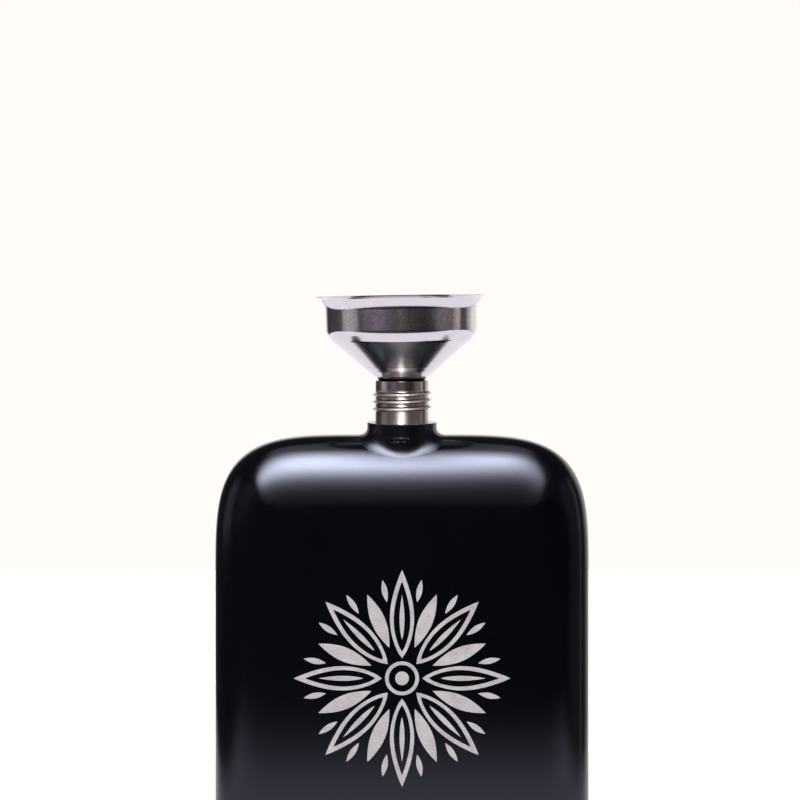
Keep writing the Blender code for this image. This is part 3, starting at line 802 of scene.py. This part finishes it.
# ---------------------------------------------------------------- the funnel
def bowl_profile():
    rim_z = bowl_hi[2] - 0.2
    outer = [(21.98, rim_z - 0.03), (21.95, rim_z - 0.16)]
    outer += fillet([(21.95, rim_z - 0.16), (20.85, rim_z - 0.50), (19.42, rim_z - 2.8), (19.30, 145.15), (17.9, 143.15)],
                    [0, 1.2, 2.2, 2.3, 0], 10)[1:]
    # cone, with three small drawn steps above the throat
    cone = []
    top_r, top_z, end_r, end_z = 17.9, 143.15, 6.30, NECK_TOP + 0.62
    for k in range(1, 41):
        t = k / 40
        r, z = top_r + (end_r - top_r) * t, top_z + (end_z - top_z) * t
        cone.append((r, z))
    run = []
    for r, z in cone:
        run.append((r, z))
    outer += run
    throat = [(6.22, NECK_TOP + 0.54), (5.85, NECK_TOP + 0.46), (5.80, NECK_TOP + 0.05), (5.45, NECK_TOP - 0.35), (4.85, 131.75),
              (4.42, 131.25), (4.36, 130.6), (4.36, bowl_lo[2] + 0.1), (4.30, bowl_lo[2])]
    outer += throat
    sheet = 0.42
    inner = [(4.36 - 0.22, bowl_lo[2]), (4.36 - 0.24, 131.4)]
    inner += fillet([(4.12, 131.4), (17.55, 143.65), (18.86, 145.4), (18.98, rim_z - 2.72), (20.55, rim_z - 0.12),
                     (21.9, rim_z + 0.0)], [0, 2.0, 2.2, 2.0, 1.2, 0], 8)[1:]
    inner[-1] = (21.95, rim_z)
    return outer, inner


def step_rings(profile):
    """Splits the cone finely and presses three shallow drawing steps into it."""
    out = []
    for (r0, z0), (r1, z1) in zip(profile, profile[1:]):
        pieces = 1
        if z0 <= 137.3 and z1 >= 132.4:
            pieces = max(1, int(math.hypot(r1 - r0, z1 - z0) / 0.04))
        for k in range(pieces):
            t = k / pieces
            out.append((r0 + (r1 - r0) * t, z0 + (z1 - z0) * t))
    out.append(profile[-1])
    pressed = []
    for r, z in out:
        push = 0.0
        for level, deep in ((136.35, 0.016), (135.35, 0.020), (134.2, 0.020)):
            d = (z - level)
            if -0.55 < d < 0.55 and r < 12:
                push += deep * (smoothstep(-0.55, 0.0, d) if d < 0 else (1 - smoothstep(0.0, 0.12, d)))
        # outward along the cone's normal
        pressed.append((r + push * 0.64, z - push * 0.77))
    return pressed


def supported(points, gap=0.1):
    """Adds points close to both ends of each long straight, so that its shading stays straight."""
    out = []
    for (r0, z0), (r1, z1) in zip(points, points[1:] + points[:1]):
        out.append((r0, z0))
        span = math.hypot(r1 - r0, z1 - z0)
        if span > 4 * gap:
            for t in (gap / span, 1 - gap / span):
                out.append((r0 + (r1 - r0) * t, z0 + (z1 - z0) * t))
    return out


outer, inner = bowl_profile()
outer = step_rings(outer)
bowl_points = []
for p in outer + inner:
    if not bowl_points or math.hypot(p[0] - bowl_points[-1][0], p[1] - bowl_points[-1][1]) > 0.004:
        bowl_points.append(p)
bowl_points = supported(bowl_points)


def leaning(bm):
    """The loose funnel stands a little askew in the neck, its left side down."""
    angle = math.radians(-0.85)
    ca, sa = math.cos(angle), math.sin(angle)
    for v in bm.verts:
        x, z = v.co.x, v.co.z - NECK_TOP
        v.co.x, v.co.z = x * ca + z * sa, -x * sa + z * ca + NECK_TOP
    return bm


piece("funnel_bowl_spun", leaning(lathe(bowl_points, 256)), bowl_steel, "funnel", ["funnel_bowl"], sharp=50)

spout_r = (spout_hi[0] - spout_lo[0]) / 2
end = spout_lo[2]
piece("funnel_spout_tube", leaning(lathe([(spout_r - 0.40, spout_hi[2])] + [(spout_r - 0.02, spout_hi[2]), (spout_r, spout_hi[2] - 0.05)] +
                                 [(spout_r, 129.4), (spout_r - 0.15, end + 0.5)] + arc(spout_r - 0.35, end + 0.2, 0.2, 0, -180, 8) +
                                 [(spout_r - 0.55, end + 0.5), (spout_r - 0.42, 129.4)], 128)),
      spout_steel, "funnel", ["funnel_spout"])


# ---------------------------------------------------------------- the cap, liner and disc
cap_outer = [(CAP_R - 0.30, 0.0)] + arc(CAP_R - 0.12, 0.12, 0.12, -90, 0, 4) + [(CAP_R, 0.9)]
cap_outer += [(CAP_R, 1.55)] + arc(CAP_R + 0.02, 1.80, 0.20, -110, -250, 8) + [(CAP_R, 2.05)]
cap_outer += [(CAP_R, CAP_H - 1.35)] + arc(CAP_R - 1.15, CAP_H - 1.15, 1.15, 0, 90, 12) + [(CAP_R - 2.2, CAP_H), (0.0, CAP_H)]
cap_inner = [(0.0, CAP_H - 0.4)] + [(CAP_R - 1.2, CAP_H - 0.4)] + arc(CAP_R - 1.25, CAP_H - 1.25, 0.85, 90, 0, 6) + \
            [(CAP_R - 0.4, 0.15), (CAP_R - 0.36, 0.0)]
cap_points = []
for p in cap_outer + cap_inner:
    if not cap_points or math.hypot(p[0] - cap_points[-1][0], p[1] - cap_points[-1][1]) > 0.01:
        cap_points.append(p)
piece("cap_shell_coated", lathe(supported(cap_points), 192), coat, "cap", ["cap_shell"], at=(CAP_X, CAP_Y, 0.0), sharp=40)


def liner_mesh():
    """The liner: an outer wall and plate, and an inner wall with the matching thread."""
    root, crest = 7.8, 7.15
    low, high = liner_lo[2], liner_hi[2]
    outer_r = (liner_hi[0] - liner_lo[0]) / 2
    before = [(root + 0.25, low), (root, low + 0.3)]
    under = gasket_lo[2] - 0.3
    after = [(root, under - 0.15), (root - 0.1, under), (7.15, under + 0.02), (7.15, 12.0)]
    bm, foot, head, quad = threaded_tube(root, crest - root, 2.3, math.radians(40.0), 3.2, before, after, around=128, rows=24)
    count = len(foot)
    first = math.radians(40.0)

    def ring(r, z):
        return [bm.verts.new((r * math.cos(first + 2 * math.pi * i / count), r * math.sin(first + 2 * math.pi * i / count), z))
                for i in range(count)]

    rest = [foot, ring(outer_r - 0.1, low), ring(outer_r, low + 0.1), ring(outer_r, high - 1.0), ring(outer_r - 0.35, high - 0.35),
            ring(outer_r - 1.0, high)]
    for a, b in zip(rest, rest[1:]):
        for i in range(count):
            j = (i + 1) % count
            quad((a[i], a[j], b[j], b[i]))
    bm.faces.new(rest[-1])
    bm.faces.new(head)
    return bm


piece("cap_liner_moulded", liner_mesh(), plastic, "cap", ["cap_liner"], at=(CAP_X, CAP_Y, 0.0), sharp=38)

gr = (gasket_hi[0] - gasket_lo[0]) / 2
g0, g1 = gasket_lo[2], gasket_hi[2]
piece("cap_gasket_disc", lathe([(0.0, g0), (gr - 1.9, g0), (gr - 1.6, g0 + 0.12), (gr - 0.7, g0 + 0.12), (gr - 0.4, g0)] +
                               arc(gr - 0.25, g0 + 0.25, 0.25, -90, 0, 5) + arc(gr - 0.25, g1 - 0.25, 0.25, 0, 90, 5) +
                               [(0.0, g1)], 128),
      silicone, "cap_seal", ["cap_gasket"], at=(CAP_X, CAP_Y, 0.0))


# ---------------------------------------------------------------- the studio
scene = bpy.context.scene
scene.view_settings.view_transform = "Standard"

floor_bm = bmesh.new()
corners = [floor_bm.verts.new(p) for p in ((-4, -4, 0), (4, -4, 0), (4, 0.493, 0), (-4, 0.493, 0))]
floor_bm.faces.new(corners)
floor_mesh = bpy.data.meshes.new("studio_floor")
floor_bm.to_mesh(floor_mesh)
floor_bm.free()
floor = bpy.data.objects.new("studio_floor", floor_mesh)
scene.collection.objects.link(floor)
floor.location.z = -0.00003
fn = Nodes("pale_floor")
floor_mesh.materials.append(fn.material)
fn.set(Base_Color=(0.93, 0.925, 0.92, 1), Roughness=0.6)
# in reflections the table is an even pale patch round the flask, and past it the studio's cards show
path = fn.add("ShaderNodeLightPath")
where = fn.add("ShaderNodeSeparateXYZ")
fn.link(fn.add("ShaderNodeNewGeometry").outputs["Position"], where.inputs[0])
across = fn.step(fn.math("ABSOLUTE", where.outputs[0]), 0.12, 0.19, 1.0, 0.0)
along = fn.step(where.outputs[1], -0.20, -0.09)
# seen from the funnel's height, the pale table reaches further to the sides
arriving = fn.add("ShaderNodeSeparateXYZ")
fn.link(fn.add("ShaderNodeNewGeometry").outputs["Incoming"], arriving.inputs[0])
risen = fn.math("MULTIPLY", arriving.outputs[2], path.outputs["Ray Length"])
high_up = fn.math("MULTIPLY", fn.step(risen, 0.126, 0.134), fn.step(arriving.outputs[2], 0.07, 0.13))
across = fn.math("MAXIMUM", across, fn.math("MULTIPLY", high_up, fn.step(fn.math("ABSOLUTE", where.outputs[0]), 0.9, 1.3, 1.0, 0.0)))
along = fn.math("MAXIMUM", along, fn.math("MULTIPLY", high_up, fn.step(where.outputs[1], -0.25, -0.13)))
glow = fn.add("ShaderNodeEmission")
glow.inputs["Color"].default_value = (1.0, 0.98, 1.03, 1)
glow.inputs["Strength"].default_value = 1.02
through = fn.add("ShaderNodeBsdfTransparent")
patch = fn.add("ShaderNodeMixShader")
fn.link(fn.math("MULTIPLY", across, along), patch.inputs[0])
fn.link(through.outputs[0], patch.inputs[1])
fn.link(glow.outputs[0], patch.inputs[2])
blend = fn.add("ShaderNodeMixShader")
fn.link(path.outputs["Is Glossy Ray"], blend.inputs[0])
fn.link(fn.shader.outputs[0], blend.inputs[1])
fn.link(patch.outputs[0], blend.inputs[2])
fn.link(blend.outputs[0], fn.out.inputs["Surface"])
fn.material.cycles.emission_sampling = "NONE"

world = bpy.data.worlds.new("studio")
scene.world = world
world.use_nodes = True
wt = world.node_tree
wt.nodes.clear()


def w_add(kind, **settings):
    node = wt.nodes.new(kind)
    for key, value in settings.items():
        setattr(node, key, value)
    return node


def w_math(operation, a, b=None):
    node = w_add("ShaderNodeMath", operation=operation)
    for socket, value in zip(node.inputs, (a, b)):
        if value is None:
            continue
        if hasattr(value, "links"):
            wt.links.new(value, socket)
        else:
            socket.default_value = value
    return node.outputs[0]


direction = w_add("ShaderNodeTexCoord").outputs["Generated"]
split = w_add("ShaderNodeSeparateXYZ")
wt.links.new(direction, split.inputs[0])
dx, dy, dz = split.outputs
# azimuth as a share of a turn: 0.5 looks towards the camera, 0 and 1 towards the backdrop, above 0.5 is the right side
turn = w_math("ADD", w_math("DIVIDE", w_math("ARCTAN2", dx, w_math("MULTIPLY", dy, -1.0)), 2 * math.pi), 0.5)
# grey cards and gaps round the studio: (degrees from the camera side, radiance)
CARDS = [(-180, (1.1, 1.06, 1.02)), (-160, (1.1, 1.06, 1.02)), (-146, (0.05, 0.045, 0.05)), (-110, (0.07, 0.065, 0.075)),
         (-102, (0.09, 0.085, 0.09)), (-96, (0.36, 0.34, 0.36)), (-86, (0.46, 0.44, 0.45)), (-72, (0.40, 0.37, 0.40)),
         (-64, (0.10, 0.09, 0.10)), (-56, (0.17, 0.155, 0.18)), (-34, (0.28, 0.22, 0.29)), (-16, (0.13, 0.115, 0.13)), (-7, (0.11, 0.09, 0.10)),
         (3, (0.17, 0.14, 0.155)), (14, (0.10, 0.085, 0.09)), (38, (0.065, 0.055, 0.06)), (50, (0.11, 0.10, 0.115)),
         (58, (0.21, 0.185, 0.21)), (83, (0.175, 0.14, 0.13)), (88, (0.30, 0.25, 0.24)), (93, (0.52, 0.455, 0.445)),
         (98, (0.48, 0.42, 0.41)), (102, (0.09, 0.08, 0.08)), (114, (0.10, 0.09, 0.09)), (122, (0.45, 0.42, 0.40)),
         (134, (0.95, 0.90, 0.87)), (180, (1.1, 1.06, 1.02))]
ramp = w_add("ShaderNodeValToRGB")
wt.links.new(turn, ramp.inputs[0])
stops = ramp.color_ramp.elements
while len(stops) > 1:
    stops.remove(stops[-1])
stops[0].position = 0.0
stops[0].color = (*[c / 1.1 for c in CARDS[0][1]], 1)
for degrees, value in CARDS[1:]:
    stop = stops.new(degrees / 360 + 0.5)
    stop.color = (*[c / 1.1 for c in value], 1)
level = w_add("ShaderNodeMapRange", interpolation_type="SMOOTHSTEP")
wt.links.new(w_math("ABSOLUTE", dz), level.inputs["Value"])
level.inputs["From Min"].default_value, level.inputs["From Max"].default_value = 0.22, 0.55
dark = w_add("ShaderNodeMix", data_type="RGBA")
wt.links.new(level.outputs[0], dark.inputs["Factor"])
wt.links.new(ramp.outputs[0], dark.inputs[6])
dark.inputs[7].default_value = (0.055, 0.05, 0.058, 1)
# the room in front of the table is darker still
front = w_add("ShaderNodeMapRange", interpolation_type="SMOOTHSTEP")
wt.links.new(w_math("MULTIPLY", dy, -1.0), front.inputs["Value"])
front.inputs["From Min"].default_value, front.inputs["From Max"].default_value = 0.30, 0.75
below = w_add("ShaderNodeMapRange", interpolation_type="SMOOTHSTEP")
wt.links.new(w_math("MULTIPLY", dz, -1.0), below.inputs["Value"])
below.inputs["From Min"].default_value, below.inputs["From Max"].default_value = 0.02, 0.13
pit = w_add("ShaderNodeMix", data_type="RGBA")
right_dark = w_add("ShaderNodeMapRange", interpolation_type="SMOOTHSTEP")
wt.links.new(dx, right_dark.inputs["Value"])
right_dark.inputs["From Min"].default_value, right_dark.inputs["From Max"].default_value = -0.30, -0.02
soon = w_add("ShaderNodeMapRange", interpolation_type="SMOOTHSTEP")
wt.links.new(w_math("MULTIPLY", dz, -1.0), soon.inputs["Value"])
soon.inputs["From Min"].default_value, soon.inputs["From Max"].default_value = 0.02, 0.042
depth = w_math("MAXIMUM", below.outputs[0], w_math("MULTIPLY", w_math("MULTIPLY", right_dark.outputs[0], soon.outputs[0]), 0.85))
wt.links.new(w_math("MULTIPLY", front.outputs[0], depth), pit.inputs["Factor"])
wt.links.new(dark.outputs[2], pit.inputs[6])
pit.inputs[7].default_value = (0.012, 0.009, 0.012, 1)
# and so are the sides, below the table's level: more on the left than on the right
low_side = w_add("ShaderNodeMapRange", interpolation_type="SMOOTHSTEP")
wt.links.new(w_math("MULTIPLY", dz, -1.0), low_side.inputs["Value"])
low_side.inputs["From Min"].default_value, low_side.inputs["From Max"].default_value = 0.07, 0.16
not_back = w_add("ShaderNodeMapRange", interpolation_type="SMOOTHSTEP")
wt.links.new(dy, not_back.inputs["Value"])
not_back.inputs["From Min"].default_value, not_back.inputs["From Max"].default_value = 0.70, 0.85
not_back.inputs["To Min"].default_value, not_back.inputs["To Max"].default_value = 1.0, 0.0
which_side = w_add("ShaderNodeMapRange", interpolation_type="SMOOTHSTEP")
wt.links.new(dx, which_side.inputs["Value"])
which_side.inputs["From Min"].default_value, which_side.inputs["From Max"].default_value = -0.3, 0.3
which_side.inputs["To Min"].default_value, which_side.inputs["To Max"].default_value = 1.0, 0.35
sunk = w_add("ShaderNodeMix", data_type="RGBA")
wt.links.new(w_math("MULTIPLY", w_math("MULTIPLY", low_side.outputs[0], not_back.outputs[0]), which_side.outputs[0]),
             sunk.inputs["Factor"])
wt.links.new(pit.outputs[2], sunk.inputs[6])
sunk.inputs[7].default_value = (0.05, 0.046, 0.05, 1)


def w_step(value, low, high, to_low=0.0, to_high=1.0):
    node = w_add("ShaderNodeMapRange", interpolation_type="SMOOTHSTEP")
    wt.links.new(value, node.inputs["Value"])
    for key, v in (("From Min", low), ("From Max", high), ("To Min", to_low), ("To Max", to_high)):
        node.inputs[key].default_value = v
    return node.outputs[0]


def w_curve(value, points):
    """A value between -0.2 and 1 through straight pieces."""
    node = w_add("ShaderNodeValToRGB")
    wt.links.new(w_math("DIVIDE", w_math("ADD", value, 0.2), 1.2), node.inputs[0])
    made = node.color_ramp.elements
    while len(made) > 1:
        made.remove(made[-1])
    made[0].position = (points[0][0] + 0.2) / 1.2
    made[0].color = (points[0][1],) * 3 + (1,)
    for at, v in points[1:]:
        made.new((at + 0.2) / 1.2).color = (v, v, v, 1)
    return node.outputs[0]


# the two softboxes as reflections show them: bright in the middle and fading softly, most of all downwards
ahead = w_math("MULTIPLY", w_math("SUBTRACT", dz, dy), math.sqrt(0.5))
sideways = w_math("DIVIDE", dx, w_math("MAXIMUM", ahead, 0.05))
facing = w_step(ahead, 0.45, 0.7)
gap = w_math("DIVIDE", w_math("SUBTRACT", sideways, 0.004), 0.022)
gap = w_math("EXPONENT", w_math("MULTIPLY", w_math("MULTIPLY", gap, gap), -1.0))
gap = w_math("SUBTRACT", 1.0, w_math("MULTIPLY", w_math("MULTIPLY", gap, w_step(dz, 0.5, 0.8)), 0.95))
left_high = w_curve(dz, [(-0.2, 0), (-0.04, 0), (0.0, 0.006), (0.07, 0.012), (0.122, 0.022), (0.182, 0.042), (0.25, 0.08),
                         (0.326, 0.17), (0.407, 0.36), (0.5, 0.64), (0.595, 0.92), (0.688, 1.0), (0.788, 0.88),
                         (0.887, 0.40), (0.966, 0.05), (1.0, 0.03)])
right_high = w_curve(dz, [(-0.2, 0), (-0.04, 0), (0.0, 0.006), (0.07, 0.013), (0.122, 0.024), (0.182, 0.047), (0.25, 0.085),
                          (0.326, 0.16), (0.407, 0.30), (0.5, 0.53), (0.595, 0.78), (0.688, 0.98), (0.788, 1.0),
                          (0.887, 0.44), (0.966, 0.06), (1.0, 0.03)])
left_edge = w_math("MINIMUM", w_math("ADD", w_math("MULTIPLY", w_math("SUBTRACT", dz, 0.55), 0.18), 0.225), 0.28)
left_wide = w_math("MULTIPLY", w_step(w_math("ADD", dx, left_edge), -0.12, 0.12),
                   w_step(sideways, 0.0, 0.012, 1.0, 0.0))
right_edge = w_math("MAXIMUM", w_math("ADD", w_math("MULTIPLY", w_math("SUBTRACT", dz, 0.44), 0.27), 0.135), 0.08)
right_wide = w_math("MULTIPLY", w_step(w_math("SUBTRACT", dx, right_edge), 0.11, -0.11), w_step(sideways, 0.0, 0.012))
glow_left = w_math("MULTIPLY", w_math("MULTIPLY", left_high, left_wide), 24.0)
glow_right = w_math("MULTIPLY", w_math("MULTIPLY", right_high, right_wide), 20.0)
rays = w_add("ShaderNodeLightPath")
once = w_math("MAXIMUM", w_step(rays.outputs["Glossy Depth"], 1.2, 1.8, 1.0, 0.3),
              w_step(w_math("ABSOLUTE", w_math("ADD", dx, 0.03)), 0.05, 0.16, 1.0, 0.0))
glow_all = w_math("MULTIPLY", w_math("MULTIPLY", w_math("ADD", glow_left, glow_right), gap), w_math("MULTIPLY", facing, once))
glow_tint = w_add("ShaderNodeVectorMath", operation="SCALE")
glow_tint.inputs[0].default_value = (0.99, 0.98, 1.0)
wt.links.new(glow_all, glow_tint.inputs["Scale"])
whole = w_add("ShaderNodeVectorMath", operation="ADD")
wt.links.new(sunk.outputs[2], whole.inputs[0])
wt.links.new(glow_tint.outputs[0], whole.inputs[1])
room = w_add("ShaderNodeBackground")
wt.links.new(whole.outputs[0], room.inputs["Color"])
room.inputs["Strength"].default_value = 1.1
seen = w_add("ShaderNodeBackground")
seen.inputs["Color"].default_value = (1.0, 0.974, 0.947, 1)
soft = w_add("ShaderNodeBackground")
soft.inputs["Color"].default_value = (1.0, 0.98, 0.97, 1)
soft.inputs["Strength"].default_value = 0.55
first = w_add("ShaderNodeMixShader")
wt.links.new(rays.outputs["Is Diffuse Ray"], first.inputs[0])
wt.links.new(room.outputs[0], first.inputs[1])
wt.links.new(soft.outputs[0], first.inputs[2])
second = w_add("ShaderNodeMixShader")
wt.links.new(rays.outputs["Is Camera Ray"], second.inputs[0])
wt.links.new(first.outputs[0], second.inputs[1])
wt.links.new(seen.outputs[0], second.inputs[2])
out = w_add("ShaderNodeOutputWorld")
wt.links.new(second.outputs[0], out.inputs["Surface"])


def softbox(name, azimuth, elevation, distance, wide, high, power, colour, target=(0, 0, 0.105)):
    """A soft light seen from the flask at this azimuth (0 is the camera's side, + to the right) and elevation."""
    light = bpy.data.lights.new(name, "AREA")
    light.shape = "RECTANGLE"
    light.size, light.size_y = wide, high
    light.energy = power
    light.color = colour
    made = bpy.data.objects.new(name, light)
    scene.collection.objects.link(made)
    a, e = math.radians(azimuth), math.radians(elevation)
    away = Vector((math.sin(a) * math.cos(e), -math.cos(a) * math.cos(e), math.sin(e)))
    made.location = Vector(target) + away * distance
    made.rotation_mode = "QUATERNION"
    made.rotation_quaternion = away.to_track_quat("Z", "Y")
    made.visible_glossy = False
    return made


softbox("front_softbox_left", -11, 44.8, 0.9, 0.248, 0.648, 15.6, (0.90, 0.94, 1.0))
softbox("front_softbox_right", 11.5, 48, 0.9, 0.127, 0.585, 6.3, (0.86, 0.94, 1.0))

# ---------------------------------------------------------------- the camera
FOCAL = 1500.0            # in pixels of an 800-pixel frame
camera_data = bpy.data.cameras.new("camera")
camera_data.sensor_width = 36.0
camera_data.lens = FOCAL * 36.0 / 800.0
camera_data.clip_start, camera_data.clip_end = 0.01, 50.0
camera = bpy.data.objects.new("camera", camera_data)
scene.collection.objects.link(camera)
scene.camera = camera
camera.rotation_mode = "XYZ"
camera.location = (-0.0005, -0.383, 0.150)
camera.rotation_euler = (math.pi / 2, 0, 0)
# The opening view is level and framed low by lens shift. The shift only holds while the camera stands as placed
# here; an orbiting camera turns by quaternion, and is then centred.
curve = camera_data.driver_add("shift_y")
curve.driver.type = "SCRIPTED"
source = curve.driver.variables.new()
source.name = "placed"
source.type = "SINGLE_PROP"
source.targets[0].id_type = "OBJECT"
source.targets[0].id = camera
source.targets[0].data_path = "rotation_mode"
curve.driver.expression = "placed * -0.1085"
